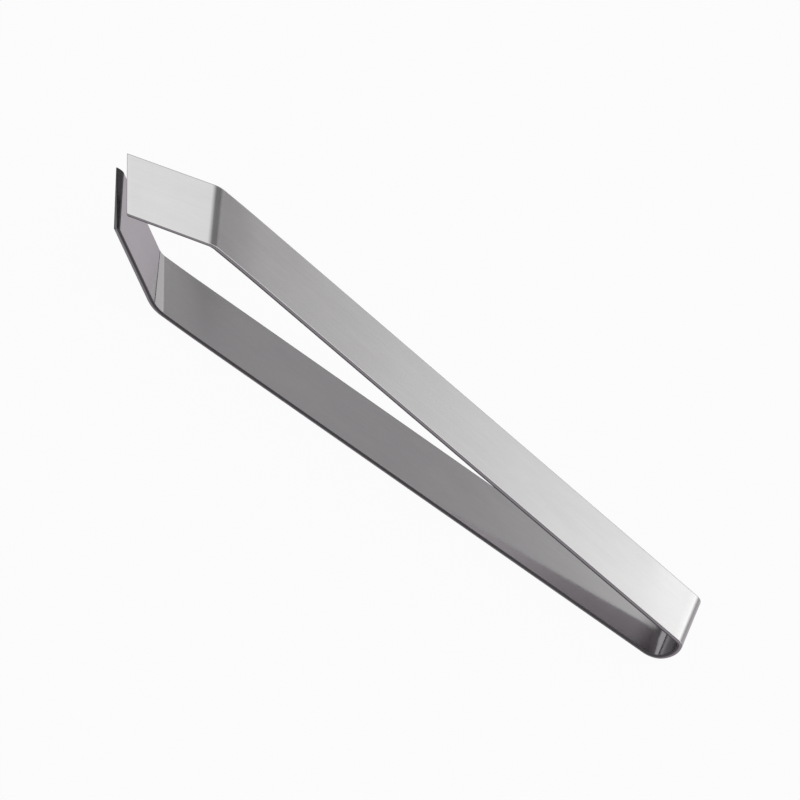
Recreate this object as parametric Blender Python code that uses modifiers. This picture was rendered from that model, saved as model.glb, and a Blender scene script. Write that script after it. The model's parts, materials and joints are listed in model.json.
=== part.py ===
"""Fish bone tweezers, folded from one flat strip of steel.

The tool lies on its lower arm: +X runs along that arm to the tips, +Y across the strip, +Z up.
The strip is modelled by its middle surface, which Solidify gives its thickness. A bow at the back
is the spring. Two arms spread from it, and each ends in a jaw that is folded in along a slanted
line. The grips at the ends of the jaws are ground to one plane while the tool is held shut.
"""

import math

import bmesh
import bpy
from mathutils import Matrix, Vector

# Strip, in metres
STRIP_WIDTH = 0.0100
STRIP_THICKNESS = 0.0009

# Bow: the inner radius of each bend and the angle it turns through
LOWER_BEND_RADIUS = 0.0026
LOWER_BEND_TURN = math.radians(61.7)
REAR_WALL_RADIUS = 0.0064
REAR_WALL_TURN = math.radians(43.3)
UPPER_BEND_RADIUS = 0.0004

# Arms: the angle between them, and lengths along the lower one from where the bow begins
ARM_SPREAD = math.radians(8.45)
FLEX_REACH = 0.0150
FOLD_REACH = 0.0994

# Jaws: the fold, the slanted end, how far each arm swings from rest until the ground grips meet,
# how far below the middle between the arms they meet, and how much of the end is ground away
FOLD_RADIUS = 0.0017
FOLD_ANGLE = math.radians(42.5)
FOLD_SLANT = math.radians(24.8)
TIP_SLANT = math.radians(30.1)
GRIP_SWING = math.radians(1.15)
GRIP_DROP = 0.00015
UPPER_GROUND_SHARE = 0.25
LOWER_GROUND_SHARE = 0.65

# Gap between neighbouring pieces of the strip
PIECE_GAP = 0.0003

# Facets
LOWER_BEND_STEPS = 8
REAR_WALL_STEPS = 6
UPPER_BEND_STEPS = 8
FOLD_STEPS = 7
SHARP_EDGE_ANGLE = math.radians(40.0)

# Finish
STEEL_METALLIC = 1.0
STEEL_ROUGHNESS = 0.34
BOW_COLOUR = (0.62, 0.61, 0.60, 1.0)
UPPER_ARM_COLOUR = (0.66, 0.65, 0.64, 1.0)
LOWER_ARM_COLOUR = (0.56, 0.55, 0.56, 1.0)
UPPER_JAW_COLOUR = (0.70, 0.69, 0.68, 1.0)
LOWER_JAW_COLOUR = (0.60, 0.58, 0.61, 1.0)

# Sizes that follow from those above
HALF_WIDTH = STRIP_WIDTH / 2
HALF_THICKNESS = STRIP_THICKNESS / 2
HALF_GAP = PIECE_GAP / 2
UPPER_BEND_TURN = math.pi - ARM_SPREAD - LOWER_BEND_TURN - REAR_WALL_TURN
FOLD_MIDDLE_RADIUS = FOLD_RADIUS + HALF_THICKNESS
FOLD_ARC = FOLD_MIDDLE_RADIUS * FOLD_ANGLE
FOLD_SETBACK = FOLD_MIDDLE_RADIUS * math.tan(FOLD_ANGLE / 2)
CUTTER_SIDE = 3 * STRIP_WIDTH

# Directions
ACROSS = Vector((0, 1, 0))
UP = Vector((0, 0, 1))


def clear_scene():
    """Remove every object of the scene."""
    for item in list(bpy.data.objects):
        bpy.data.objects.remove(item, do_unlink=True)


def new_collection(name):
    """Add a collection to the scene and return it."""
    collection = bpy.data.collections.new(name)
    bpy.context.scene.collection.children.link(collection)
    return collection


def steel(name, colour):
    """Return a satin steel material."""
    material = bpy.data.materials.new(name + "_steel")
    material.use_nodes = True
    shader = material.node_tree.nodes["Principled BSDF"]
    shader.inputs["Base Color"].default_value = colour
    shader.inputs["Metallic"].default_value = STEEL_METALLIC
    shader.inputs["Roughness"].default_value = STEEL_ROUGHNESS
    return material


class SidePath:
    """The strip's middle line seen from the side, as straight runs and clockwise bends."""

    def __init__(self, start, angle):
        self.points = [start]
        self.angle = angle

    def heading(self):
        """Return the direction in which the line goes on."""
        return Vector((math.cos(self.angle), 0, math.sin(self.angle)))

    def run(self, length):
        """Go straight on for a length."""
        self.points.append(self.points[-1] + self.heading() * length)

    def bend(self, inner_radius, turn, steps):
        """Turn clockwise by an angle, round an arc whose inner face has this radius."""
        radius = inner_radius + HALF_THICKNESS
        to_centre = ACROSS.cross(self.heading()) * radius
        centre = self.points[-1] + to_centre
        for step in range(1, steps + 1):
            spoke = Matrix.Rotation(turn * step / steps, 3, ACROSS) @ -to_centre
            self.points.append(centre + spoke)
        self.angle -= turn


class Arm:
    """One arm with its jaw, laid out as flat strip and then folded.

    Its own frame starts where the two arms' middle surfaces would meet if they ran on past the
    bow. There x runs along the arm, y across the strip and z towards the other arm, so the two
    arms are mirror images in the plane midway between them. The grips are ground to a plane at
    grip_height from that middle plane.
    """

    def __init__(self, apex, angle, towards_other, flex, fold, ground_share, grip_height):
        along = Vector((math.cos(angle), 0, math.sin(angle)))
        self.flex = flex
        self.fold = fold
        self.frame = Matrix((along, ACROSS, towards_other)).transposed().to_4x4()
        self.frame.translation = apex

        # The fold, turned about its slanted line
        self.fold_line = Vector((-math.sin(FOLD_SLANT), math.cos(FOLD_SLANT), 0))
        self.fold_square = Vector((math.cos(FOLD_SLANT), math.sin(FOLD_SLANT), 0))
        self.fold_turn = Matrix.Rotation(-FOLD_ANGLE, 3, self.fold_line)
        self.jaw_inward = self.fold_turn @ UP

        # The plane that the grips are ground to: midway between the arms while they are held shut
        half_spread = ARM_SPREAD / 2
        self.hinge = Vector((flex, 0, 0))
        shut_normal = Vector((math.sin(half_spread), 0, -math.cos(half_spread)))
        self.ground_normal = Matrix.Rotation(GRIP_SWING, 3, ACROSS) @ shut_normal
        self.ground_height = grip_height - shut_normal.dot(self.hinge)

        # The jaw's length, which brings the wanted share of the strip's end past the ground plane
        crossing = self.jaw_inward * (HALF_THICKNESS - ground_share * STRIP_THICKNESS)
        start = self.on_jaw(Vector((0, 0, 0))) + crossing - self.hinge
        jaw_along = self.fold_turn @ Vector((1, 0, 0))
        drop = self.ground_height - self.ground_normal.dot(start)
        self.jaw_length = drop / self.ground_normal.dot(jaw_along)
        tip = self.on_jaw(Vector((self.jaw_length, 0, 0)))
        self.grip = tip + crossing

    def on_jaw(self, flat):
        """Return where a flat point measured from the fold lies in the plane of the jaw."""
        taken_up = self.fold_square * (2 * FOLD_SETBACK - FOLD_ARC)
        return Vector((self.fold, 0, 0)) + self.fold_turn @ (flat + taken_up)

    def folded(self, flat):
        """Return where a flat point measured from the fold lies once the jaw is folded in."""
        past_start = flat.dot(self.fold_square) + FOLD_SETBACK
        if past_start <= 0:
            return Vector((self.fold, 0, 0)) + flat
        if past_start >= FOLD_ARC:
            return self.on_jaw(flat)
        turned = past_start / FOLD_MIDDLE_RADIUS
        square = FOLD_MIDDLE_RADIUS * math.sin(turned) - FOLD_SETBACK
        rise = FOLD_MIDDLE_RADIUS * (1 - math.cos(turned))
        place = self.fold_line * flat.dot(self.fold_line) + self.fold_square * square + UP * rise
        return Vector((self.fold, 0, 0)) + place

    def line_along_fold(self, past_start):
        """Return the strip's two edge points on a line parallel to the fold, past its start."""
        points = []
        for y in (-HALF_WIDTH, HALF_WIDTH):
            square = past_start - FOLD_SETBACK
            x = (square - y * math.sin(FOLD_SLANT)) / math.cos(FOLD_SLANT)
            points.append(self.frame @ self.folded(Vector((x, y, 0))))
        return points

    def square_line(self, reach):
        """Return the strip's two edge points on a line square to the arm."""
        return [self.frame @ Vector((reach, y, 0)) for y in (-HALF_WIDTH, HALF_WIDTH)]

    def tip_end(self):
        """Return the strip's two edge points at the tip."""
        points = []
        for y in (-HALF_WIDTH, HALF_WIDTH):
            x = self.jaw_length - y * math.tan(TIP_SLANT)
            points.append(self.frame @ self.folded(Vector((x, y, 0))))
        return points

    def blade_lines(self):
        """Return the lines across the strip that bound the arm's straight blade."""
        return [self.square_line(self.flex + HALF_GAP), self.line_along_fold(-PIECE_GAP)]

    def jaw_lines(self):
        """Return the lines across the strip that describe the fold and the jaw."""
        shares = [step / FOLD_STEPS for step in range(FOLD_STEPS + 1)]
        return [self.line_along_fold(FOLD_ARC * share) for share in shares] + [self.tip_end()]

    def hinge_point(self):
        """Return where the arm's flexing is centred."""
        return self.frame @ self.hinge


def strip_piece(name, lines, origin, colour, collection):
    """Make a stretch of the strip from the lines across it, with its origin at a given point."""
    steps = len(lines) - 1
    bm = bmesh.new()
    bmesh.ops.create_grid(bm, x_segments=steps, y_segments=1, size=0.5)
    for vertex in bm.verts:
        line = lines[round((vertex.co.x + 0.5) * steps)]
        vertex.co = line[vertex.co.y > 0] - origin
    mesh = bpy.data.meshes.new(name)
    bm.to_mesh(mesh)
    bm.free()
    mesh.materials.append(steel(name, colour))
    piece = bpy.data.objects.new(name, mesh)
    piece.location = origin
    collection.objects.link(piece)
    wall = piece.modifiers.new("thickness", "SOLIDIFY")
    wall.thickness = STRIP_THICKNESS
    wall.offset = 0
    wall.use_even_offset = True
    return piece


def grind_grip(jaw, arm, collection):
    """Grind the jaw's end flat along the plane in which the two grips meet."""
    turn = arm.frame.to_3x3()
    normal = (turn @ arm.ground_normal).normalized()
    side = normal.cross(ACROSS).normalized()
    bpy.ops.mesh.primitive_cube_add(size=1)
    cutter = bpy.context.object
    cutter.name = jaw.name + "_grinder"
    cutter.matrix_world = (
        Matrix.Translation(arm.frame @ arm.grip - normal * CUTTER_SIDE / 2)
        @ Matrix((side, normal.cross(side), normal)).transposed().to_4x4()
        @ Matrix.Scale(CUTTER_SIDE, 4)
    )
    cutter.hide_render = True
    cutter.display_type = "WIRE"
    for home in list(cutter.users_collection):
        home.objects.unlink(cutter)
    collection.objects.link(cutter)
    cut = jaw.modifiers.new("ground_grip", "BOOLEAN")
    cut.operation = "DIFFERENCE"
    cut.solver = "EXACT"
    cut.object = cutter


def finish(piece):
    """Turn the piece's modifiers into its mesh, smooth along the bends and sharp at the edges."""
    graph = bpy.context.evaluated_depsgraph_get()
    mesh = bpy.data.meshes.new_from_object(piece.evaluated_get(graph))
    piece.modifiers.clear()
    piece.data = mesh
    mesh.shade_smooth()
    mesh.set_sharp_from_angle(angle=SHARP_EDGE_ANGLE)


def centre_over_origin(pieces):
    """Move the pieces together so that the middle of their box is over the world's origin."""
    bpy.context.view_layer.update()
    corners = [piece.matrix_world @ Vector(corner) for piece in pieces for corner in piece.bound_box]
    middle = Vector((0, 0, 0))
    middle.x = (min(c.x for c in corners) + max(c.x for c in corners)) / 2
    middle.y = (min(c.y for c in corners) + max(c.y for c in corners)) / 2
    for piece in pieces:
        piece.location -= middle


def main():
    """Build the tweezers."""
    clear_scene()
    parts = new_collection("fish_bone_tweezers")
    cutters = new_collection("cutters")

    # The bow's middle line, from the lower arm round the back to the upper arm
    path = SidePath(Vector((FLEX_REACH - HALF_GAP, 0, HALF_THICKNESS)), math.pi)
    path.run(FLEX_REACH - HALF_GAP)
    path.bend(LOWER_BEND_RADIUS, LOWER_BEND_TURN, LOWER_BEND_STEPS)
    path.bend(REAR_WALL_RADIUS, REAR_WALL_TURN, REAR_WALL_STEPS)
    path.bend(UPPER_BEND_RADIUS, UPPER_BEND_TURN, UPPER_BEND_STEPS)

    # The two arms, which are equally long from where their middle surfaces would meet
    upper_root = path.points[-1]
    behind = (upper_root.z - HALF_THICKNESS) / math.tan(ARM_SPREAD) - upper_root.x
    apex = Vector((-behind, 0, HALF_THICKNESS))
    flex = behind + FLEX_REACH
    fold = behind + FOLD_REACH
    down_to_lower = Vector((math.sin(ARM_SPREAD), 0, -math.cos(ARM_SPREAD)))
    upper = Arm(apex, ARM_SPREAD, down_to_lower, flex, fold, UPPER_GROUND_SHARE, -GRIP_DROP)
    lower = Arm(apex, 0, UP, flex, fold, LOWER_GROUND_SHARE, GRIP_DROP)
    path.run(flex - HALF_GAP - (upper_root - apex).length)

    # The pieces
    bow_lines = [[point - ACROSS * HALF_WIDTH, point + ACROSS * HALF_WIDTH] for point in path.points]
    bow_origin = Vector((0, 0, HALF_THICKNESS))
    pieces = [strip_piece("rear_bow", bow_lines, bow_origin, BOW_COLOUR, parts)]
    for name, arm, blade_colour, jaw_colour in (
        ("upper", upper, UPPER_ARM_COLOUR, UPPER_JAW_COLOUR),
        ("lower", lower, LOWER_ARM_COLOUR, LOWER_JAW_COLOUR),
    ):
        hinge = arm.hinge_point()
        blade = strip_piece(name + "_arm", arm.blade_lines(), hinge, blade_colour, parts)
        jaw = strip_piece(name + "_jaw", arm.jaw_lines(), hinge, jaw_colour, parts)
        grind_grip(jaw, arm, cutters)
        pieces += [blade, jaw]
    bpy.context.view_layer.update()
    for piece in pieces:
        finish(piece)
    centre_over_origin(pieces)


main()
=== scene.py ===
"""Fish bone tweezers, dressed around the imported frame.

The tool is one strip of satin steel: a bow at the back, two arms and two folded jaws. Each piece
is the same slab section, a rectangle with eased corners, carried along its stretch of the strip.
Lengths are in metres. Strip places are in millimetres: along the strip from the lower hinge round
the bow, across it, and outwards from its middle surface.
"""

import json
import logging
import math
from dataclasses import dataclass, field
from enum import Enum
from typing import Any, Callable

import bmesh
import bpy
import numpy as np
from mathutils import Matrix, Vector


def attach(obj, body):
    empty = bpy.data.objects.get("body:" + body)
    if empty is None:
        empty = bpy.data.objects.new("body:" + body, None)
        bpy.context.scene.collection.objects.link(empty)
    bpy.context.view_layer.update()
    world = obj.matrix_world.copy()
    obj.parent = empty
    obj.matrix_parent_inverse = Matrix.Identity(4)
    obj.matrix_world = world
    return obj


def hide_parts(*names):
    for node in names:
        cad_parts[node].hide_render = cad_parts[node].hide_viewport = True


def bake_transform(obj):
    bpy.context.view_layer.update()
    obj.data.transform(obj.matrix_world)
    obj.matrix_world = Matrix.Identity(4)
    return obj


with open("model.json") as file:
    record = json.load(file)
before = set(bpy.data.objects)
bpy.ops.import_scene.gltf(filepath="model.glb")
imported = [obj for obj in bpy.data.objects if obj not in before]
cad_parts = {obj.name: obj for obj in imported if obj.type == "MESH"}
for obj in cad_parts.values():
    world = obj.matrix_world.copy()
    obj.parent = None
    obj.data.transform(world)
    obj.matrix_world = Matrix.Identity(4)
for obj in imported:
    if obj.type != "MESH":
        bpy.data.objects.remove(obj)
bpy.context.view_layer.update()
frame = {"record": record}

log = logging.getLogger("tweezers")

Span = tuple[float, float]
Triple = tuple[float, float, float]
Rgba = tuple[float, float, float, float]

MM = 0.001
PLACE = "strip_mm"
SHEAR = "sheared"
GROUND = "ground"
SEEN = ("Is Camera Ray", "Is Glossy Ray", "Is Transmission Ray")
WHITE = (1.0, 1.0, 1.0, 1.0)

# The cards' grey has a little less green, which gives the mirrored steel its faint lilac
CARD_GREEN = 0.98

# The Mix node's sockets for colours come after those for numbers and vectors
MIX_FIRST = 6
MIX_SECOND = 7
MIX_RESULT = 2


class Side(Enum):
    """The two arms of the tool, by the way they lie."""

    UPPER = "upper"
    LOWER = "lower"


def turned(points: np.ndarray, angle: float, axis: np.ndarray) -> np.ndarray:
    """Turn points about an axis through the origin.

    Formula: p cos a + (axis x p) sin a + axis (axis . p)(1 - cos a).

    Args:
        points: Points or directions, the last dimension being x, y, z.
        angle: Angle in radians.
        axis: Unit vector.

    Returns:
        The turned points.
    """
    along = (points @ axis)[..., None] * axis
    cosine, sine = math.cos(angle), math.sin(angle)
    return points * cosine + np.cross(axis, points) * sine + along * (1 - cosine)


def smooth_step(values: np.ndarray) -> np.ndarray:
    """Return 3v^2 - 2v^3 of the values held between 0 and 1."""
    held = np.clip(values, 0.0, 1.0)
    return held * held * (3 - 2 * held)


def put_in_scene(name: str, data: bpy.types.ID) -> bpy.types.Object:
    """Put a new object into the scene.

    Args:
        name: Its name.
        data: Its mesh, lamp or camera.

    Returns:
        The object, at the origin.
    """
    made = bpy.data.objects.new(name, data)
    bpy.context.scene.collection.objects.link(made)
    return made


@dataclass(frozen=True)
class Slab:
    """The section of the strip: a rectangle with eased corners, described by a grid of points.

    The corners are rolled in across the strip and down through it, each by its own radius.
    """

    width: float = 10.0 * MM
    thickness: float = 0.9 * MM
    roll_in: float = 0.20 * MM
    roll_down: float = 0.32 * MM
    least_roll: float = 0.02 * MM
    hold: float = 0.05 * MM
    shear_border: float = 0.30 * MM
    corner_steps: int = 5
    across_steps: int = 10
    through_steps: int = 2

    def side(self, half: float, own: float, other: float, steps: int) -> tuple[np.ndarray, np.ndarray]:
        """Lay out one side of the section from the middle of one corner to the middle of the next.

        Formula: each corner is a quarter of an ellipse. Its point is the centre plus
        (own sin t, other cos t), t going from 45 degrees to 0. Between them the points are even,
        but for a narrow strip beside each corner, which holds the flat stretch flat in shading.

        Args:
            half: Half the length of the side.
            own: The ellipse's radius along this side.
            other: Its radius along the next side.
            steps: Steps of the flat stretch.

        Returns:
            The places along the side, and how far each point lies below the flat stretch.
        """
        turn = np.linspace(math.pi / 4, 0, self.corner_steps + 1)
        end = half - own + own * np.sin(turn)
        held = half - own - self.hold
        flat = np.linspace(-held, held, steps + 1)
        places = np.concatenate([-end, flat, end[::-1]])
        fall = other * (1 - np.cos(turn))
        falls = np.concatenate([fall, np.zeros(len(flat)), fall[::-1]])
        return places, falls

    def grid(self, inset: float = 0.0) -> np.ndarray:
        """Fill the section with a grid of points.

        Formula: a Coons patch, which is the blend of the two long sides, plus the blend of the two
        short sides, less the blend of the four corners.

        Args:
            inset: How far the outline is drawn in.

        Returns:
            Array (rows through, columns across, 2) of places across and outwards.
        """
        half_w, half_t = self.width / 2 - inset, self.thickness / 2 - inset
        roll_in = max(self.roll_in - inset, self.least_roll)
        roll_down = max(self.roll_down - inset, self.least_roll)
        across, across_fall = self.side(half_w, roll_in, roll_down, self.across_steps)
        through, through_fall = self.side(half_t, roll_down, roll_in, self.through_steps)
        bottom = np.stack([across, -half_t + across_fall], -1)[None]
        top = np.stack([across, half_t - across_fall], -1)[None]
        left = np.stack([-half_w + through_fall, through], -1)[:, None]
        right = np.stack([half_w - through_fall, through], -1)[:, None]
        u = np.linspace(0, 1, len(across))[None, :, None]
        v = np.linspace(0, 1, len(through))[:, None, None]
        corners = (1 - v) * ((1 - u) * bottom[:, :1] + u * bottom[:, -1:])
        corners = corners + v * ((1 - u) * top[:, :1] + u * top[:, -1:])
        return (1 - v) * bottom + v * top + (1 - u) * left + u * right - corners

    @staticmethod
    def outline(grid: np.ndarray) -> np.ndarray:
        """Return the grid's outer points in order round the section, the first one again at the end."""
        sides = [grid[0, :-1], grid[:-1, -1], grid[-1, :0:-1], grid[:0:-1, 0]]
        return np.concatenate([*sides, grid[:1, 0]])

    def shear(self, section: np.ndarray) -> np.ndarray:
        """Return 0 on the two faces and 1 at the sheared edges, even over a narrow border between."""
        flat = self.width / 2 - self.shear_border
        return np.clip((np.abs(section[..., 0]) - flat) / self.shear_border, 0, 1)


@dataclass(frozen=True)
class BowPath:
    """The bow's middle line seen from the side: a run, four clockwise bends and a run.

    Radii are those of the inner face. The line starts at the lower hinge and heads back. The tight
    corner ends in a wide curve, and the wall turns as much less as keeps the upper arm in place.
    The bend isn't quite square to the strip: its far side stands a little ahead of its near side.
    """

    slab: Slab = field(default_factory=Slab)
    lower_radius: float = 2.6 * MM
    lower_turn: float = math.radians(61.7)
    wall_radius: float = 5.8764 * MM
    wall_turn: float = math.radians(46.04556)
    corner_radius: float = 0.6 * MM
    easing_radius: float = 3.55 * MM
    easing_turn: float = math.radians(9.0)
    spread: float = math.radians(8.45)
    flex_reach: float = 15.0 * MM
    skew: float = 0.30 * MM
    skew_fade: float = 9.0 * MM
    run_step: float = 1.0 * MM
    turn_step: float = math.radians(3.5)

    def bends(self) -> list[tuple[float, float]]:
        """List the bends in order.

        Returns:
            For each, the radius of the middle line and the turn.
        """
        corner_turn = math.pi - self.spread - self.lower_turn - self.wall_turn - self.easing_turn
        inner = [self.lower_radius, self.wall_radius, self.corner_radius, self.easing_radius]
        turns = [self.lower_turn, self.wall_turn, corner_turn, self.easing_turn]
        return [(radius + self.slab.thickness / 2, turn) for radius, turn in zip(inner, turns)]

    def knots(self) -> tuple[np.ndarray, np.ndarray, np.ndarray, np.ndarray]:
        """Work out where each stretch of the line starts.

        Formula: round a bend of radius R the heading falls by length / R, and the point moves by
        R (sin a0 - sin a, cos a - cos a0).

        Returns:
            Starting lengths, starting points (x, z), starting headings and curvatures.
        """
        heading, start = math.pi, np.array([self.flex_reach, self.slab.thickness / 2])
        rows = [(0.0, *start, heading, 0.0)]
        length, point = self.flex_reach, start - [self.flex_reach, 0.0]
        for radius, turn in self.bends():
            rows.append((length, *point, heading, 1 / radius))
            after = heading - turn
            step_x = math.sin(heading) - math.sin(after)
            step_z = math.cos(after) - math.cos(heading)
            point = point + radius * np.array([step_x, step_z])
            length, heading = length + radius * turn, after
        rows.append((length, *point, heading, 0.0))
        table = np.array(rows)
        return table[:, 0], table[:, 1:3], table[:, 3], table[:, 4]

    def behind(self) -> float:
        """Return how far behind the bow's beginning the two arms' middle surfaces would meet."""
        root = self.knots()[1][-1]
        return (root[1] - self.slab.thickness / 2) / math.tan(self.spread) - root[0]

    def length(self) -> float:
        """Work out the line's length.

        Returns:
            The whole length, from hinge to hinge.
        """
        starts, points, _, _ = self.knots()
        apex = np.array([-self.behind(), self.slab.thickness / 2])
        last_run = self.behind() + self.flex_reach - float(np.linalg.norm(points[-1] - apex))
        return float(starts[-1]) + last_run

    def stations(self) -> np.ndarray:
        """Choose where the rings stand: finely spaced round the bends, wider on the runs.

        Returns:
            Their lengths along the line.
        """
        stops = np.append(self.knots()[0], self.length())
        fine = [radius * self.turn_step for radius, _ in self.bends()]
        rows = []
        for start, stop, step in zip(stops[:-1], stops[1:], [self.run_step, *fine, self.run_step]):
            count = max(2, math.ceil((stop - start) / step))
            rows.append(np.linspace(start, stop, count, endpoint=False))
        return np.append(np.concatenate(rows), stops[-1])

    def place(self, along: np.ndarray, across: np.ndarray, outwards: np.ndarray) -> np.ndarray:
        """Place points of the strip in the frame of construction.

        Formula: the point on the middle line at that length, plus the outward normal
        (-sin a, cos a) times the distance outwards, plus the distance across along y. The skew
        moves the far side ahead, and fades out on the two runs.

        Args:
            along: Lengths along the line.
            across: Distances across the strip.
            outwards: Distances from the middle surface.

        Returns:
            Points, the last dimension being x, y, z.
        """
        starts, points, headings, curvatures = self.knots()
        index = np.clip(np.searchsorted(starts, along, side="right") - 1, 0, len(starts) - 1)
        past, first, curve = along - starts[index], headings[index], curvatures[index]
        heading = first - past * curve
        radius = 1 / np.where(curve > 0, curve, 1.0)
        step_x = np.where(curve > 0, radius * (np.sin(first) - np.sin(heading)), past * np.cos(first))
        step_z = np.where(curve > 0, radius * (np.cos(heading) - np.cos(first)), past * np.sin(first))
        from_ends = np.minimum(along, self.length() - along)
        share = smooth_step((from_ends - (self.flex_reach - self.skew_fade)) / self.skew_fade)
        ahead = self.skew * share * (0.5 - across / self.slab.width)
        x = points[index, 0] + step_x - np.sin(heading) * outwards + ahead
        z = points[index, 1] + step_z + np.cos(heading) * outwards
        return np.stack([x, across + 0 * x, z], -1)


@dataclass(frozen=True)
class ArmShape:
    """One arm with its jaw, laid out as flat strip and then folded.

    Its own frame starts where the two arms' middle surfaces would meet. There x runs along the
    arm, y across the strip and z towards the other arm. The strip is drawn in a little beside the
    fold, as a press leaves it, over the set's length before it and the set's fading after it. The
    blade meets the jaw at a seam that lies its lead before the fold's arc.
    """

    side: Side
    bow: BowPath
    fold_reach: float = 99.4 * MM
    upper_fold_radius: float = 1.7 * MM
    lower_fold_radius: float = 2.8 * MM
    lower_fold_growth: float = 2.2 * MM
    fold_angle: float = math.radians(42.5)
    fold_slant: float = math.radians(24.8)
    set_depth: float = 0.14 * MM
    set_length: float = 7.0 * MM
    set_fading: float = 30.0 * MM
    tip_slant: float = math.radians(30.1)
    grip_swing: float = math.radians(1.15)
    grip_drop: float = 0.15 * MM
    upper_ground_from: float = 0.25
    lower_ground_from: float = 0.65
    probe_start: float = 10.0 * MM
    probe_span: float = 10.0 * MM
    seam_lead: float = 0.3 * MM
    end_ease: float = 0.10 * MM
    ease_steps: int = 4

    @property
    def upper(self) -> bool:
        """Tell whether this is the upper arm."""
        return self.side is Side.UPPER

    @property
    def hinge(self) -> np.ndarray:
        """Return the hinge's place in the arm's own frame."""
        return np.array([self.bow.behind() + self.bow.flex_reach, 0.0, 0.0])

    @property
    def fold_x(self) -> float:
        """Return how far along the arm the fold is."""
        return self.bow.behind() + self.fold_reach

    @property
    def fold_line(self) -> np.ndarray:
        """Return the direction of the fold."""
        return np.array([-math.sin(self.fold_slant), math.cos(self.fold_slant), 0.0])

    @property
    def fold_square(self) -> np.ndarray:
        """Return the direction square to the fold, in the plane of the arm."""
        return np.array([math.cos(self.fold_slant), math.sin(self.fold_slant), 0.0])

    def middle_radius(self, across: np.ndarray) -> np.ndarray:
        """Work out the fold's radius at the middle surface.

        Formula: the inner radius and half the thickness. The lower fold widens evenly across the
        strip, as a cone does, by its growth from border to border.

        Args:
            across: Distances across the strip.

        Returns:
            The radius at each of them.
        """
        inner, growth = self.lower_fold_radius, self.lower_fold_growth
        if self.upper:
            inner, growth = self.upper_fold_radius, 0.0
        return inner + self.bow.slab.thickness / 2 + growth * across / self.bow.slab.width

    @property
    def widest(self) -> float:
        """Return the fold's radius at the middle surface where it is widest."""
        return float(self.middle_radius(np.array(self.bow.slab.width / 2)))

    @property
    def setback(self) -> float:
        """Return how far before the fold's vertex the widest arc begins."""
        return self.widest * math.tan(self.fold_angle / 2)

    @property
    def arc(self) -> float:
        """Return the length of the fold's widest arc."""
        return self.widest * self.fold_angle

    def to_world_frame(self, points: np.ndarray) -> np.ndarray:
        """Bring points of the arm's own frame into the frame of construction.

        Formula: the meeting point of the arms, plus x along the arm, y across it and z inwards.
        The upper arm is tilted by the spread, and its inward side is its lower one.

        Args:
            points: Points, the last dimension being x, y, z.

        Returns:
            The points in the frame of construction.
        """
        tilt, inwards = (self.bow.spread, -1.0) if self.upper else (0.0, 1.0)
        cosine, sine = math.cos(tilt), math.sin(tilt)
        axes = np.array([[cosine, 0.0, sine], [0.0, 1.0, 0.0], [-inwards * sine, 0.0, inwards * cosine]])
        apex = np.array([-self.bow.behind(), 0.0, self.bow.slab.thickness / 2])
        return apex + points @ axes

    def folded(self, along: np.ndarray, across: np.ndarray, outwards: np.ndarray) -> np.ndarray:
        """Place points of the flat strip once its jaw is folded in.

        Formula: a point is split into parts along and square to the fold. Before the arc it stays
        flat. On the arc it goes round by the radius R that the fold has there: square by R sin t,
        inwards by R (1 - cos t). Past it, it goes straight on. The inward normal turns with it. The
        set adds its depth times the square of the share of its length, and fades along the jaw.

        Args:
            along: Distances along the strip from the fold's vertex.
            across: Distances across the strip.
            outwards: Distances from the middle surface, away from the other arm.

        Returns:
            Points in the arm's own frame.
        """
        line, square, radius = self.fold_line, self.fold_square, self.middle_radius(across)
        setback, arc = radius * math.tan(self.fold_angle / 2), radius * self.fold_angle
        by_line = along * line[0] + across * line[1]
        by_square = along * square[0] + across * square[1]
        past = by_square + setback
        turn = np.clip(past, 0, arc) / radius
        beyond = np.maximum(past - arc, 0)
        reach = np.where(past > 0, radius * np.sin(turn) - setback + beyond * np.cos(turn), by_square)
        rise = radius * (1 - np.cos(turn)) + beyond * np.sin(turn)
        reach = reach + np.sin(turn) * outwards
        rise = rise - np.cos(turn) * outwards
        flat = by_line[..., None] * line + reach[..., None] * square
        before = np.clip(1 + past / self.set_length, 0, 1)
        after = np.clip(1 - np.maximum(past, 0) / self.set_fading, 0, 1)
        rise = rise + self.set_depth * before ** 2 * after
        return flat + np.array([self.fold_x, 0.0, 0.0]) + rise[..., None] * np.array([0.0, 0.0, 1.0])

    def plane_reach(
        self, normal: np.ndarray, height: float, across: np.ndarray, outwards: np.ndarray
    ) -> np.ndarray:
        """Find how far along the strip the straight jaw meets a plane.

        Formula: the heights at two probes on the jaw give its slope, and a straight line through
        them gives the place.

        Args:
            normal: The plane's normal.
            height: The plane's height from the hinge.
            across: Distances across the strip.
            outwards: Distances from the middle surface.

        Returns:
            The distances from the fold's vertex.
        """
        near, far = (
            (self.folded(0 * across + reach, across, outwards) - self.hinge) @ normal
            for reach in (self.probe_start, self.probe_start + self.probe_span)
        )
        return self.probe_start + self.probe_span * (height - near) / (far - near)

    def grind(self) -> tuple[np.ndarray, float, float]:
        """Work out the plane that the grips are ground to, and the jaw's length.

        Formula: the plane is midway between the arms while they are held shut. The jaw is as long
        as brings the wanted share of the strip's end past that plane.

        Returns:
            The plane's normal and height from the hinge, and the jaw's length.
        """
        half = self.bow.spread / 2
        shut = np.array([math.sin(half), 0.0, -math.cos(half)])
        normal = turned(shut, self.grip_swing, np.array([0.0, 1.0, 0.0]))
        drop = -self.grip_drop if self.upper else self.grip_drop
        height = drop - float(shut @ self.hinge)
        share = self.upper_ground_from if self.upper else self.lower_ground_from
        outwards = np.array((share - 0.5) * self.bow.slab.thickness)
        length = float(self.plane_reach(normal, height, np.array(0.0), outwards))
        return normal, height, length

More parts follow.
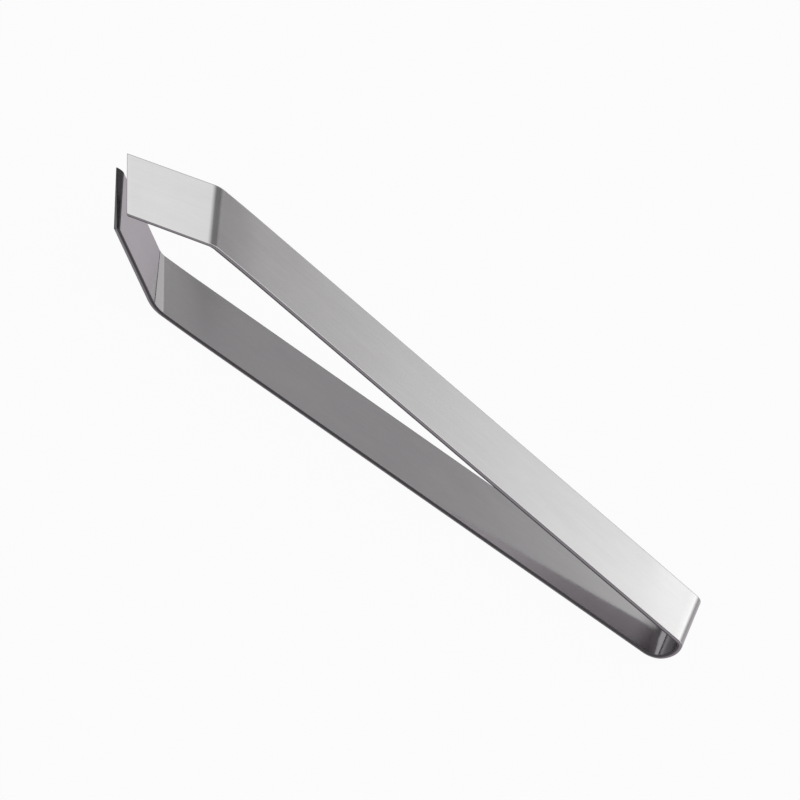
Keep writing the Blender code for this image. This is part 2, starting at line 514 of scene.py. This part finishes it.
    def end_reach(self, across: np.ndarray, outwards: np.ndarray) -> np.ndarray:
        """Find how far along the strip its end is, at each point of the section.

        Formula: the nearer of the slanted end, L - y tan(slant), and the ground plane.

        Args:
            across: Distances across the strip.
            outwards: Distances from the middle surface.

        Returns:
            The distances from the fold's vertex.
        """
        normal, height, length = self.grind()
        slanted = length - across * math.tan(self.tip_slant)
        return np.minimum(slanted, self.plane_reach(normal, height, across, outwards))

    def line_reach(self, past: float, across: np.ndarray) -> np.ndarray:
        """Find how far along the strip a line parallel to the fold lies.

        Args:
            past: The line's distance past the beginning of the widest arc.
            across: Distances across the strip.

        Returns:
            The distances from the fold's vertex.
        """
        return (past - self.setback - across * math.sin(self.fold_slant)) / math.cos(self.fold_slant)


@dataclass
class Skin:
    """Points of a piece in grids that share their borders, gathered before they become a mesh."""

    points: list[np.ndarray] = field(default_factory=list)
    places: list[np.ndarray] = field(default_factory=list)
    shears: list[np.ndarray] = field(default_factory=list)
    grounds: list[np.ndarray] = field(default_factory=list)
    faces: list[np.ndarray] = field(default_factory=list)
    count: int = 0
    merge: float = 0.002 * MM
    sharp: float = math.radians(38)

    def add(self, points: np.ndarray, places: np.ndarray, shear: np.ndarray, ground: np.ndarray) -> None:
        """Add a grid of points with its quads.

        Args:
            points: Array (rows, columns, 3) of world points.
            places: The same of strip places.
            shear: The same without the last dimension, 1 on sheared edges.
            ground: The same, 1 on ground ends.
        """
        rows, columns = points.shape[:2]
        index = np.arange(rows * columns).reshape(rows, columns) + self.count
        quads = np.stack([index[:-1, :-1], index[:-1, 1:], index[1:, 1:], index[1:, :-1]], -1)
        self.faces.append(quads.reshape(-1, 4))
        self.points.append(points.reshape(-1, 3))
        self.places.append(places.reshape(-1, 3))
        self.shears.append(shear.reshape(-1))
        self.grounds.append(ground.reshape(-1))
        self.count += rows * columns

    def mesh(self, name: str) -> bpy.types.Mesh:
        """Turn the gathered grids into one closed mesh with faces that point outwards.

        Args:
            name: Name of the mesh.

        Returns:
            The mesh, with its strip places, sheared edges and ground ends as attributes.
        """
        mesh = bpy.data.meshes.new(name)
        mesh.from_pydata(np.concatenate(self.points).tolist(), [], np.concatenate(self.faces).tolist())
        for label, kind, rows, key in (
            (PLACE, "FLOAT_VECTOR", self.places, "vector"),
            (SHEAR, "FLOAT", self.shears, "value"),
            (GROUND, "FLOAT", self.grounds, "value"),
        ):
            values = mesh.attributes.new(label, kind, "POINT").data
            values.foreach_set(key, np.concatenate(rows).astype(np.float32).ravel())
        work = bmesh.new()
        work.from_mesh(mesh)
        bmesh.ops.remove_doubles(work, verts=work.verts, dist=self.merge)
        bmesh.ops.recalc_face_normals(work, faces=work.faces)
        work.to_mesh(mesh)
        work.free()
        mesh.shade_smooth()
        mesh.set_sharp_from_angle(angle=self.sharp)
        mesh.update()
        return mesh


@dataclass
class Tweezers:
    """The whole tool: the bow, and the two arms with their jaws."""

    steel: bpy.types.Material
    slab: Slab = field(default_factory=Slab)
    blend_length: float = 30.0 * MM
    blade_steps: int = 84
    arc_steps: int = 24
    jaw_steps: int = 24

    def __post_init__(self) -> None:
        """Set the bow and the arms out, and find the shift that brings them to the frame's hinge."""
        self.bow = BowPath(self.slab)
        self.arms = {side: ArmShape(side, self.bow) for side in Side}
        joints = {joint["name"]: joint for joint in frame["record"]["behaviour"]["joints"]}
        hinge = np.array(joints["lower_flex"]["pos_m"])
        self.shift = hinge - np.array([self.bow.flex_reach, 0.0, self.slab.thickness / 2])

    def object_of(self, skin: Skin, name: str, node: str) -> bpy.types.Object:
        """Make the piece's object, dress it and let it stand for its node.

        Args:
            skin: The piece's grids.
            name: The piece's name.
            node: The node of the frame that it replaces.

        Returns:
            The object, at the origin.
        """
        piece = put_in_scene(name, skin.mesh(name))
        piece.data.materials.append(self.steel)
        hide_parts(node)
        log.info("%s: %d faces", name, len(piece.data.polygons))
        return piece

    def add_bent(self, skin: Skin, along: np.ndarray, section: np.ndarray) -> None:
        """Place a grid of strip points on the bow and add it.

        Args:
            skin: Where the grid goes.
            along: Lengths along the bow's line.
            section: Distances across and outwards.
        """
        points = self.bow.place(along, section[..., 0], section[..., 1]) + self.shift
        places = np.concatenate([along[..., None], section], -1) / MM
        shear = self.slab.shear(section)
        skin.add(points, places, shear, 0 * shear)

    def add_folded(
        self, arm: ArmShape, skin: Skin, reach: np.ndarray, section: np.ndarray, ground: Any = 0.0
    ) -> None:
        """Place a grid of strip points on an arm and add it.

        Args:
            arm: The arm.
            skin: Where the grid goes.
            reach: Distances from the fold's vertex.
            section: Distances across and outwards.
            ground: 1 on ground ends, one value or one for each row.
        """
        points = arm.to_world_frame(arm.folded(reach, section[..., 0], section[..., 1])) + self.shift
        past_hinge = reach + arm.fold_reach - self.bow.flex_reach
        length = self.bow.length() + past_hinge if arm.upper else -past_hinge
        places = np.concatenate([length[..., None], section], -1) / MM
        skin.add(points, places, self.slab.shear(section), ground + 0 * reach)

    def make_bow(self) -> bpy.types.Object:
        """Carry the section round the bow.

        Returns:
            The bow, riding its body.
        """
        skin = Skin()
        grid = self.slab.grid()
        ring = self.slab.outline(grid)
        stations = self.bow.stations()
        along = np.repeat(stations[:, None], len(ring), 1)
        self.add_bent(skin, along, np.repeat(ring[None], len(stations), 0))
        for reach in (stations[0], stations[-1]):
            self.add_bent(skin, np.full(grid.shape[:2], reach), grid)
        piece = self.object_of(skin, "rear_bow_strip", "rear_bow")
        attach(piece, "rear_bow")
        return piece

    def make_blade(self, arm: ArmShape) -> bpy.types.Object:
        """Carry the section from the hinge to just before the fold.

        Formula: the rings go evenly from a line square to the arm to one parallel to the fold.

        Args:
            arm: The arm.

        Returns:
            The blade, its placing baked into its mesh.
        """
        skin = Skin()
        grid = self.slab.grid()
        ring = self.slab.outline(grid)
        start = self.bow.flex_reach - arm.fold_reach
        shares = np.linspace(0, 1, self.blade_steps + 1)[:, None]
        reach = start + (arm.line_reach(-arm.seam_lead, ring[:, 0]) - start) * shares
        self.add_folded(arm, skin, reach, np.repeat(ring[None], len(shares), 0))
        self.add_folded(arm, skin, start + 0 * grid[..., 0], grid)
        self.add_folded(arm, skin, arm.line_reach(-arm.seam_lead, grid[..., 0]), grid)
        name = arm.side.value
        piece = self.object_of(skin, name + "_arm_blade", name + "_arm")
        hinge = arm.to_world_frame(arm.hinge) + self.shift
        on = arm.to_world_frame(arm.hinge + np.array([self.blend_length, 0.0, 0.0])) + self.shift
        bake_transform(piece)
        return piece

    def make_jaw(self, arm: ArmShape) -> bpy.types.Object:
        """Carry the section round the fold and along the jaw to its ground end.

        Formula: rings parallel to the fold on its arc, then evenly from the fold to the end, whose
        rim is eased by drawing the section in by r (1 - cos t) while it runs r sin t further.

        Args:
            arm: The arm.

        Returns:
            The jaw, riding its arm's body.
        """
        skin = Skin()
        grid = self.slab.grid()
        ring = self.slab.outline(grid)
        ease = arm.end_ease
        round_fold = np.append(-arm.seam_lead, np.linspace(0, arm.arc, self.arc_steps + 1))
        reaches = [arm.line_reach(past, ring[:, 0]) for past in round_fold]
        first, last = reaches[-1], arm.end_reach(ring[:, 0], ring[:, 1]) - ease
        shares = np.linspace(0, 1, self.jaw_steps + 1)[1:]
        reaches += [first + (last - first) * share for share in shares]
        sections = [ring] * len(reaches)
        rims = [0.0] * len(reaches)
        for turn in np.linspace(0, math.pi / 2, arm.ease_steps + 1)[1:]:
            drawn = self.slab.outline(self.slab.grid(ease * (1 - math.cos(turn))))
            reaches.append(arm.end_reach(drawn[:, 0], drawn[:, 1]) - ease * (1 - math.sin(turn)))
            sections.append(drawn)
            rims.append(1.0)
        self.add_folded(arm, skin, np.stack(reaches), np.stack(sections), np.array(rims)[:, None])
        self.add_folded(arm, skin, arm.line_reach(-arm.seam_lead, grid[..., 0]), grid)
        end = self.slab.grid(ease)
        self.add_folded(arm, skin, arm.end_reach(end[..., 0], end[..., 1]), end, 1.0)
        name = arm.side.value
        piece = self.object_of(skin, name + "_jaw_blade", name + "_jaw")
        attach(piece, name + "_arm")
        return piece

    def build(self) -> list[bpy.types.Object]:
        """Make every piece.

        Returns:
            The pieces, from the bow to the jaws.
        """
        made = [self.make_bow()]
        for side in (Side.UPPER, Side.LOWER):
            made += [self.make_blade(self.arms[side]), self.make_jaw(self.arms[side])]
        return made


class Wire:
    """A node's output in an expression: the operators add Math nodes."""

    def __init__(self, sheet: "Sheet", socket: bpy.types.NodeSocket) -> None:
        """Keep the sheet of nodes and the socket."""
        self.sheet, self.socket = sheet, socket

    def math(self, operation: str, *values: Any) -> "Wire":
        """Return a Math node's result for the values, in their order."""
        return self.sheet.node("ShaderNodeMath", {"operation": operation}, values)

    def __add__(self, other: Any) -> "Wire":
        """Return self + other."""
        return self.math("ADD", self, other)

    def __radd__(self, other: Any) -> "Wire":
        """Return other + self."""
        return self.math("ADD", other, self)

    def __sub__(self, other: Any) -> "Wire":
        """Return self - other."""
        return self.math("SUBTRACT", self, other)

    def __rsub__(self, other: Any) -> "Wire":
        """Return other - self."""
        return self.math("SUBTRACT", other, self)

    def __mul__(self, other: Any) -> "Wire":
        """Return self * other."""
        return self.math("MULTIPLY", self, other)

    def __rmul__(self, other: Any) -> "Wire":
        """Return other * self."""
        return self.math("MULTIPLY", other, self)

    def held(self) -> "Wire":
        """Return self held between 0 and 1."""
        return self.sheet.node("ShaderNodeClamp", {}, {"Value": self})

    def ramp(self, low: float, high: float) -> "Wire":
        """Return a smooth step of self from 0 at low to 1 at high."""
        values = {"Value": self, "From Min": low, "From Max": high}
        return self.sheet.node("ShaderNodeMapRange", {"interpolation_type": "SMOOTHSTEP"}, values)

    def between(self, begins: Span, ends: Span) -> "Wire":
        """Return 1 on a stretch and 0 outside it, with a smooth step over each of the two spans."""
        return self.ramp(*begins) * (1 - self.ramp(*ends))

    def output(self, key: int | str) -> "Wire":
        """Return another output of the same node, by its number or name."""
        return Wire(self.sheet, self.socket.node.outputs[key])


class Sheet:
    """The nodes of a material or world, written as expressions."""

    def __init__(self, block: bpy.types.Material | bpy.types.World) -> None:
        """Turn the block's nodes on and clear them away.

        Args:
            block: The material or world.
        """
        block.use_nodes = True
        self.tree = block.node_tree
        self.tree.nodes.clear()

    def node(self, kind: str, settings: dict[str, Any], values: Any = (), output: int | str = 0) -> Wire:
        """Add any node.

        Args:
            kind: Blender's type name of the node.
            settings: The node's own properties, set first.
            values: Values or wires of its inputs, in order or by name.
            output: Which output is wanted.

        Returns:
            The wanted output.
        """
        made = self.tree.nodes.new(kind)
        for name, value in settings.items():
            setattr(made, name, value)
        pairs = values.items() if isinstance(values, dict) else enumerate(values)
        for key, value in pairs:
            if isinstance(value, Wire):
                self.tree.links.new(value.socket, made.inputs[key])
            else:
                made.inputs[key].default_value = value
        return Wire(self, made.outputs[output] if len(made.outputs) else None)

    def attribute(self, name: str, output: str) -> Wire:
        """Return an attribute of the mesh."""
        return self.node("ShaderNodeAttribute", {"attribute_name": name}, (), output)

    def parts(self, vector: Wire) -> list[Wire]:
        """Return a vector's x, y and z."""
        split = self.node("ShaderNodeSeparateXYZ", {}, [vector])
        return [split.output(index) for index in range(3)]

    def seen(self) -> list[Wire]:
        """Return whether a ray is the camera's, a mirrored one or one through glass."""
        path = self.node("ShaderNodeLightPath", {})
        return [path.output(name) for name in SEEN]

    def mix(self, factor: Any, first: Any, second: Any) -> Wire:
        """Return the mix of two colours."""
        values = {"Factor": factor, MIX_FIRST: first, MIX_SECOND: second}
        return self.node("ShaderNodeMix", {"data_type": "RGBA"}, values, MIX_RESULT)

    def noise(self, place: Wire, scale: Triple, start: float, detail: float) -> Wire:
        """Return noise of a place whose three parts are scaled first.

        Args:
            place: The place.
            scale: How many features there are to a unit, along each part.
            start: Where in the pattern it starts.
            detail: How many finer layers are added.

        Returns:
            Values about a half.
        """
        values = {0: place, 1: scale, 2: (start, start, start)}
        scaled = self.node("ShaderNodeVectorMath", {"operation": "MULTIPLY_ADD"}, values)
        values = {"Vector": scaled, "Scale": 1.0, "Detail": detail, "Roughness": 0.55}
        return self.node("ShaderNodeTexNoise", {}, values)


@dataclass(frozen=True)
class Mark:
    """One kind of mark on the steel: noise, and how much it changes tone, roughness and height.

    The scale counts features to a millimetre along the strip, across it and through it.
    """

    scale: Triple
    start: float = 0.0
    detail: float = 3.0
    tone: float = 0.0
    rough: float = 0.0
    height: float = 0.0


@dataclass(frozen=True)
class SatinSteel:
    """Stainless strip as it comes from the brush: fine lines along it, with painted shade on the sheared
    edges, the ground ends and inside the bow.

    A span gives where a smooth step begins and ends. Spans along the strip, across it and out from
    its middle surface are in millimetres, those of edges and ends in shares of their border.
    """

    face: Rgba = (0.735, 0.73, 0.725, 1.0)
    deep: Rgba = (0.69, 0.68, 0.685, 1.0)
    # Painted shade on the sheared edges: near black on the inner half, mid grey on the outer half
    painted_edge_pale: Rgba = (0.42, 0.41, 0.42, 1.0)
    painted_edge_dark: Rgba = (0.13, 0.125, 0.13, 1.0)
    # Painted shade on the ground ends
    ground: Rgba = (0.14, 0.135, 0.14, 1.0)
    # Painted shade inside the bow
    painted_bow_shade: Rgba = (0.15, 0.14, 0.15, 1.0)

    fine_brushing: Mark = Mark((0.25, 6.0, 6.0), tone=0.9, rough=0.05, height=0.6)
    broad_brushing: Mark = Mark((0.05, 2.2, 2.2), start=7.3, detail=2.0, tone=0.8, height=0.5)
    mottling: Mark = Mark((0.12, 0.25, 0.25), start=3.1, tone=1.3, rough=0.06)
    grain: Mark = Mark((6.0, 8.0, 8.0), start=1.7, rough=0.04, height=0.35)

    roughness: float = 0.16
    inner_gloss: float = 0.06
    edge_rough: float = 0.04
    bump: float = 0.08
    bump_depth: float = 0.02 * MM

    inner_face: Span = (0.15, 0.40)
    # Spans of the painted shade on the sheared edges and the ground ends
    inner_half: Span = (0.0, 0.2)
    edge_shade_change: Span = (-0.14, 0.12)
    far_corner: Span = (4.74, 4.88)
    edge_border: Span = (0.40, 0.75)
    inner_border: Span = (0.30, 0.48)
    end_border: Span = (0.0, 0.5)

    # Spans and strengths of the painted shade inside the bow
    bend_begins: Span = (11.0, 17.0)
    bend_ends: Span = (36.0, 60.0)
    bend_pales: Span = (22.5, 28.0)
    wall_begins: Span = (17.5, 19.5)
    wall_ends: Span = (22.5, 24.5)
    bend_shade_share: float = 0.76
    paling: float = 0.31
    wall_shade_share: float = 0.24

    def marks(self, sheet: Sheet, place: Wire) -> dict[Mark, Wire]:
        """Return how far each kind of mark swings from its mean."""
        kinds = (self.fine_brushing, self.broad_brushing, self.mottling, self.grain)
        return {mark: sheet.noise(place, mark.scale, mark.start, mark.detail) - 0.5 for mark in kinds}

    @staticmethod
    def weighed(swings: dict[Mark, Wire], weight: str) -> Wire:
        """Return the sum of the swings, each times its mark's weight of this name."""
        return sum(swing * getattr(mark, weight) for mark, swing in swings.items() if getattr(mark, weight))

    def sheared(self, across: Wire, outwards: Wire, shear: Wire) -> Wire:
        """Work out where the painted shade of the sheared edges lies.

        Formula: the painted shade starts at the very corner on the inner face and on the far side, and
        elsewhere a little lower down.

        Args:
            across: Place across the strip.
            outwards: Place out from its middle surface.
            shear: 0 on the faces, 1 at the edges.

        Returns:
            0 on the faces, 1 on the painted shade.
        """
        corner = (-1 * across).ramp(*self.far_corner)
        corner = corner + shear.ramp(*self.inner_border) * (-1 * outwards).ramp(*self.inner_half)
        return (shear.ramp(*self.edge_border) + corner).held()

    def material(self) -> bpy.types.Material:
        """Build the material.

        Returns:
            The material, which reads the strip's own places.
        """
        made = bpy.data.materials.new("satin_steel_strip")
        sheet = Sheet(made)
        place = sheet.attribute(PLACE, "Vector")
        shear = sheet.attribute(SHEAR, "Fac")
        ground = sheet.attribute(GROUND, "Fac")
        along, across, outwards = sheet.parts(place)
        swings = self.marks(sheet, place)
        edge_shade = self.sheared(across, outwards, shear)

        # Painted shade darkens the inside of the bow: most on its wall, fading out along the arms
        inner = (-1 * outwards).ramp(*self.inner_face)
        bend = along.between(self.bend_begins, self.bend_ends)
        bow_shade_share = bend * (self.bend_shade_share - along.ramp(*self.bend_pales) * self.paling)
        bow_shade_share = bow_shade_share + along.between(self.wall_begins, self.wall_ends) * self.wall_shade_share

        # Painted shade on the sheared edges: near black on the strip's inner half, mid grey on its outer
        # half
        rim = sheet.mix(outwards.ramp(*self.edge_shade_change), self.painted_edge_dark, self.painted_edge_pale)
        shade = (self.weighed(swings, "tone") + 0.5).held()
        skin = sheet.mix(inner * bow_shade_share, sheet.mix(shade, self.deep, self.face), self.painted_bow_shade)
        # The ground ends and the sheared edges take their painted shade over the skin
        colour = sheet.mix(ground.ramp(*self.end_border), sheet.mix(edge_shade, skin, rim), self.ground)

        # The inner face is glossier along the arms than inside the bow
        rough = self.roughness - inner * (1 - bend) * self.inner_gloss
        rough = rough + self.weighed(swings, "rough") + edge_shade * self.edge_rough
        height = self.weighed(swings, "height")
        relief = {"Strength": self.bump, "Distance": self.bump_depth, "Height": height}
        bump = sheet.node("ShaderNodeBump", {}, relief, "Normal")
        looks = {"Base Color": colour, "Metallic": 1.0, "Roughness": rough, "Normal": bump}
        shader = sheet.node("ShaderNodeBsdfPrincipled", {}, looks)
        sheet.node("ShaderNodeOutputMaterial", {}, {"Surface": shader})
        return made


def hide_from_camera(card: bpy.types.Object) -> None:
    """Leave a card to the mirrored rays alone.

    Args:
        card: The card.
    """
    for ray in ("camera", "diffuse", "transmission", "volume_scatter", "shadow"):
        setattr(card, "visible_" + ray, False)


def faded_grey(name: str, shade: float, cover: Callable[[Wire, Wire, Wire], Wire]) -> bpy.types.Material:
    """Build a card's plain grey, which fades to nothing towards its borders.

    Args:
        name: Name of the card.
        shade: How light the grey is.
        cover: Works out how much the card covers from a point's x, y and z on it.

    Returns:
        The material.
    """
    made = bpy.data.materials.new(name + "_grey")
    sheet = Sheet(made)
    place = sheet.node("ShaderNodeTexCoord", {}, (), "Object")
    clear = sheet.node("ShaderNodeBsdfTransparent", {})
    grey = sheet.node("ShaderNodeEmission", {}, {"Color": (shade, shade * CARD_GREEN, shade, 1.0)})
    mixed = sheet.node("ShaderNodeMixShader", {}, [cover(*sheet.parts(place)), clear, grey])
    sheet.node("ShaderNodeOutputMaterial", {}, {"Surface": mixed})
    return made


@dataclass(frozen=True)
class Card:
    """A flat card that the steel mirrors and the camera doesn't see, with soft edges.

    It faces the tool from a direction and distance. Its fades are those of its left, right, low and
    high border. It may be rolled in its own plane, or slid aside in it.
    """

    name: str
    towards: Triple
    distance: float
    size: tuple[float, float]
    shade: float
    fades: tuple[float, float, float, float]
    roll: float = 0.0
    aside: float = 0.0

    def cover(self, x: Wire, y: Wire, z: Wire) -> Wire:
        """Work out the card's cover: a smooth step in from each border, over the four fades.

        Args:
            x: Place along the card.
            y: Place up the card.
            z: Place before the card, always 0.

        Returns:
            0 at the borders, 1 in the middle.
        """
        half_x, half_y = self.size[0] / 2, self.size[1] / 2
        left, right, low, high = self.fades
        x = x - self.aside
        wide = x.ramp(-half_x, left - half_x) * (-1 * x).ramp(-half_x, right - half_x)
        return wide * y.ramp(-half_y, low - half_y) * (-1 * y).ramp(-half_y, high - half_y)

    def build(self) -> bpy.types.Object:
        """Make the card, facing the tool.

        Returns:
            The card.
        """
        back = Vector(self.towards).normalized()
        mesh = bpy.data.meshes.new(self.name)
        corners = np.array([[-1, -1, 0], [1, -1, 0], [1, 1, 0], [-1, 1, 0]]) * [*self.size, 0] / 2
        mesh.from_pydata((corners + [self.aside, 0, 0]).tolist(), [], [(0, 1, 2, 3)])
        card = put_in_scene(self.name, mesh)
        facing = back.to_track_quat("Z", "Y").to_matrix().to_4x4() @ Matrix.Rotation(self.roll, 4, "Z")
        card.matrix_world = Matrix.Translation(back * self.distance) @ facing
        card.data.materials.append(faded_grey(self.name, self.shade, self.cover))
        hide_from_camera(card)
        return card


@dataclass(frozen=True)
class Surround:
    """A low dark ring round the set, which gives the steel a horizon to mirror."""

    name: str = "surround"
    radius: float = 0.95
    height: float = 0.16
    fade: float = 0.08
    shade: float = 0.02
    sides: int = 48

    def cover(self, x: Wire, y: Wire, z: Wire) -> Wire:
        """Return the ring's cover: full at its foot, fading out to its top."""
        return (-1 * z).ramp(-self.height, self.fade - self.height)

    def build(self) -> bpy.types.Object:
        """Make the ring.

        Formula: the point at angle t and height z is (r cos t, r sin t, z).

        Returns:
            The ring.
        """
        angles = np.linspace(0, 2 * math.pi, self.sides, endpoint=False)
        foot = np.stack([self.radius * np.cos(angles), self.radius * np.sin(angles), 0 * angles], -1)
        points = np.concatenate([foot, foot + [0, 0, self.height]])
        here = np.arange(self.sides)
        after = (here + 1) % self.sides
        quads = np.stack([here, after, after + self.sides, here + self.sides], -1)
        mesh = bpy.data.meshes.new(self.name)
        mesh.from_pydata(points.tolist(), [], quads.tolist())
        ring = put_in_scene(self.name, mesh)
        ring.data.materials.append(faded_grey(self.name, self.shade, self.cover))
        hide_from_camera(ring)
        return ring


@dataclass(frozen=True)
class Lamp:
    """A soft square lamp that shines at the tool, its power in watts."""

    name: str
    place: Triple
    size: float
    power: float

    def build(self) -> bpy.types.Object:
        """Hang the lamp.

        Returns:
            The lamp.
        """
        data = bpy.data.lights.new(self.name, "AREA")
        data.size, data.energy = self.size, self.power
        lamp = put_in_scene(self.name, data)
        place = Vector(self.place)
        lamp.matrix_world = Matrix.Translation(place) @ place.to_track_quat("Z", "Y").to_matrix().to_4x4()
        return lamp


# What lights the steel: two lamps, and what it mirrors
LIGHTS = (
    Lamp("side_lamp", place=(-0.57, -0.61, 0.61), size=0.18, power=0.05),
    Lamp("top_lamp", place=(-0.30, 0.05, 0.95), size=1.1, power=0.8),
    Card(
        "fold_card", towards=(0.26, -0.42, 0.75), distance=0.87, size=(1.19, 0.60),
        shade=0.20, fades=(0.25, 0.70, 0.09, 0.10), aside=0.17,
    ),
    Card(
        "back_card", towards=(0.06, -0.42, 0.80), distance=0.90, size=(1.21, 0.56),
        shade=0.33, fades=(0.43, 0.20, 0.09, 0.15),
    ),
    Card(
        "low_card", towards=(-0.28, -0.84, 0.45), distance=0.85, size=(0.80, 0.42),
        shade=0.56, fades=(0.08, 0.08, 0.05, 0.05), roll=math.radians(35),
    ),
    Card(
        "left_card", towards=(-0.80, -0.55, 0.31), distance=0.80, size=(0.50, 0.59),
        shade=0.42, fades=(0.08, 0.08, 0.02, 0.26),
    ),
    Card(
        "camera_card", towards=(-0.10, 0.85, 0.45), distance=0.80, size=(1.50, 1.10),
        shade=0.32, fades=(0.20, 0.20, 0.15, 0.15),
    ),
    Surround(),
)


@dataclass(frozen=True)
class Studio:
    """The camera, the white background, the pale floor, the lamps and the cards."""

    eye: Triple = (0.044905, 0.276984, 0.354537)
    aim: Triple = (0.000945, -0.002008, 0.008)
    roll: float = math.radians(-42.01)
    lens: float = 124.93
    sensor: float = 36.0
    nearest: float = 0.01
    air_light: float = 0.75
    floor_reach: float = 3.0
    floor_paper: Rgba = (0.575, 0.535, 0.58, 1.0)
    floor_seen: float = 0.95
    floor_mirrored: float = 0.1

    def camera(self) -> None:
        """Put the camera where the photograph was taken from, tilted as it was held.

        Formula: its own up is the upright turned about the line of sight by the roll.
        """
        data = bpy.data.cameras.new("photo_camera")
        data.lens, data.sensor_width, data.clip_start = self.lens, self.sensor, self.nearest
        ahead = (Vector(self.aim) - Vector(self.eye)).normalized()
        level = ahead.cross(Vector((0, 0, 1))).normalized()
        upright = level.cross(ahead)
        up = upright * math.cos(self.roll) + level * math.sin(self.roll)
        turn = Matrix((ahead.cross(up), up, -ahead)).transposed().to_4x4()
        made = put_in_scene("photo_camera", data)
        made.matrix_world = Matrix.Translation(Vector(self.eye)) @ turn
        bpy.context.scene.camera = made

    def world(self) -> None:
        """Light the scene evenly, with a white background for the rays that show it."""
        made = bpy.data.worlds.new("pale_studio")
        sheet = Sheet(made)
        camera, gloss, clear = sheet.seen()
        light = sheet.node("ShaderNodeBackground", {}, {"Color": WHITE, "Strength": self.air_light})
        white = sheet.node("ShaderNodeBackground", {}, {"Color": WHITE, "Strength": 1.0})
        mixed = sheet.node("ShaderNodeMixShader", {}, [(camera + gloss + clear).held(), light, white])
        sheet.node("ShaderNodeOutputWorld", {}, {"Surface": mixed})
        bpy.context.scene.world = made

    def floor(self) -> None:
        """Lay the pale floor, which keeps a faint shadow."""
        reach = self.floor_reach
        corners = [(-reach, -reach, 0), (reach, -reach, 0), (reach, reach, 0), (-reach, reach, 0)]
        mesh = bpy.data.meshes.new("floor")
        mesh.from_pydata(corners, [], [(0, 1, 2, 3)])
        made = put_in_scene("floor", mesh)
        material = bpy.data.materials.new("pale_floor")
        sheet = Sheet(material)
        camera, gloss, clear = sheet.seen()
        share = (camera * self.floor_seen + gloss * self.floor_mirrored + clear * self.floor_seen).held()
        paper = sheet.node("ShaderNodeBsdfDiffuse", {}, {"Color": self.floor_paper})
        white = sheet.node("ShaderNodeEmission", {}, {"Color": WHITE})
        mixed = sheet.node("ShaderNodeMixShader", {}, [share, paper, white])
        sheet.node("ShaderNodeOutputMaterial", {}, {"Surface": mixed})
        made.data.materials.append(material)

    def build(self) -> None:
        """Set up the camera, the world, the floor, the lamps and the cards."""
        bpy.context.scene.view_settings.view_transform = "Standard"
        self.camera()
        self.world()
        self.floor()
        for light in LIGHTS:
            light.build()


def main() -> None:
    """Build the studio and the tool, and report each piece."""
    logging.basicConfig(level=logging.INFO, format="%(message)s")
    Studio().build()
    tool = Tweezers(SatinSteel().material())
    for piece in tool.build():
        low, high = np.array(piece.bound_box).min(0), np.array(piece.bound_box).max(0)
        log.info("%s from %s to %s mm", piece.name, (low / MM).round(2), (high / MM).round(2))


if __name__ == "__main__":
    main()
